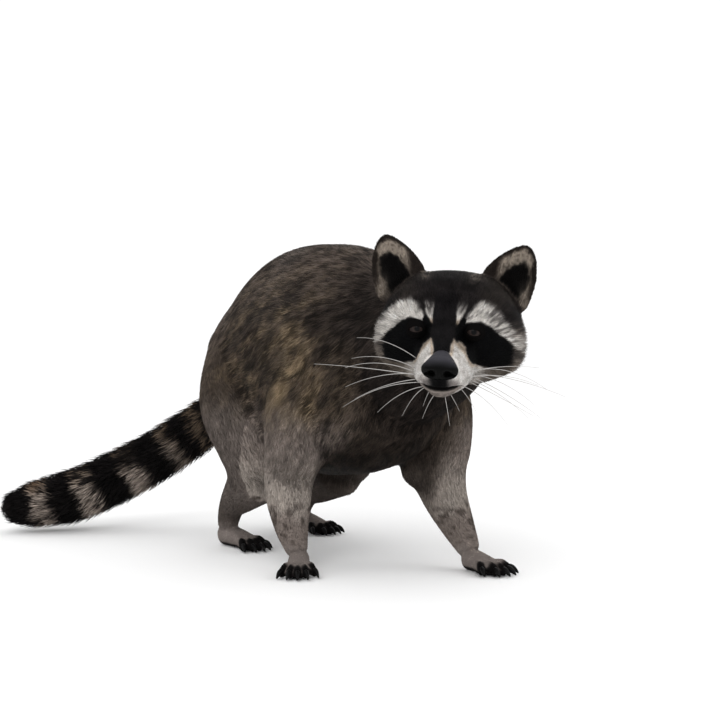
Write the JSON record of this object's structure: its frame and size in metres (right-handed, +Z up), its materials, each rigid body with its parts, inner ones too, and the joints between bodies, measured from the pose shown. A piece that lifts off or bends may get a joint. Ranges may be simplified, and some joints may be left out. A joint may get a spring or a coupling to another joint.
{
  "type": "life-size standing raccoon figure",
  "caption": "Life-size still display figure of an adult raccoon, stepping forward on its feet with its head turned to its right and its ringed tail held low.",
  "frame": {"origin": "middle of the floor plan of the whole figure, on the floor under the soles", "axes": "+Z up; the animal faces -Y, its left side is +X and its tail trails towards -X at the +Y end"},
  "size_m": [0.3978, 0.6574, 0.3261],
  "materials": {
    "coat": "dense flat-lying fur, dark brown-grey with pale buff bands near the hair tips, darkest along the back",
    "face_coat": "very short close fur with a black mask, pale brow bands and muzzle, a dark stripe down the middle and dark-backed ears",
    "foot_coat": "short grey-brown fur thinning to dark bare skin on toes and soles",
    "tail_coat": "longer soft fur ringed black and pale buff, black at the tip",
    "nose_leather": "moist dark slate skin, finely pebbled, with a soft highlight",
    "eye": "wet dark brown eye with a darker pupil",
    "claw": "smooth dark horn, slightly worn at the tips",
    "whisker": "thin tapering pale hair shafts"
  },
  "bodies": {
    "root": {"trunk": "coat", "neck": "coat", "head": "face_coat", "lower_jaw": "face_coat", "nose": "nose_leather", "ear_l": "face_coat", "ear_r": "face_coat", "eye_l": "eye", "eye_r": "eye", "upper_arm_l": "coat", "forearm_l": "coat", "forepaw_l": "foot_coat", "upper_arm_r": "coat", "forearm_r": "coat", "forepaw_r": "foot_coat", "thigh_l": "coat", "shank_l": "coat", "hindpaw_l": "foot_coat", "thigh_r": "coat", "shank_r": "coat", "hindpaw_r": "foot_coat", "tail_1": "tail_coat", "tail_2": "tail_coat", "tail_3": "tail_coat", "tail_4": "tail_coat", "claw_fore_l_1": "claw", "claw_fore_l_2": "claw", "claw_fore_l_3": "claw", "claw_fore_l_4": "claw", "claw_fore_l_5": "claw", "claw_fore_r_1": "claw", "claw_fore_r_2": "claw", "claw_fore_r_3": "claw", "claw_fore_r_4": "claw", "claw_fore_r_5": "claw", "claw_hind_l_1": "claw", "claw_hind_l_2": "claw", "claw_hind_l_3": "claw", "claw_hind_l_4": "claw", "claw_hind_l_5": "claw", "claw_hind_r_1": "claw", "claw_hind_r_2": "claw", "claw_hind_r_3": "claw", "claw_hind_r_4": "claw", "claw_hind_r_5": "claw"}
  },
  "joints": []
}
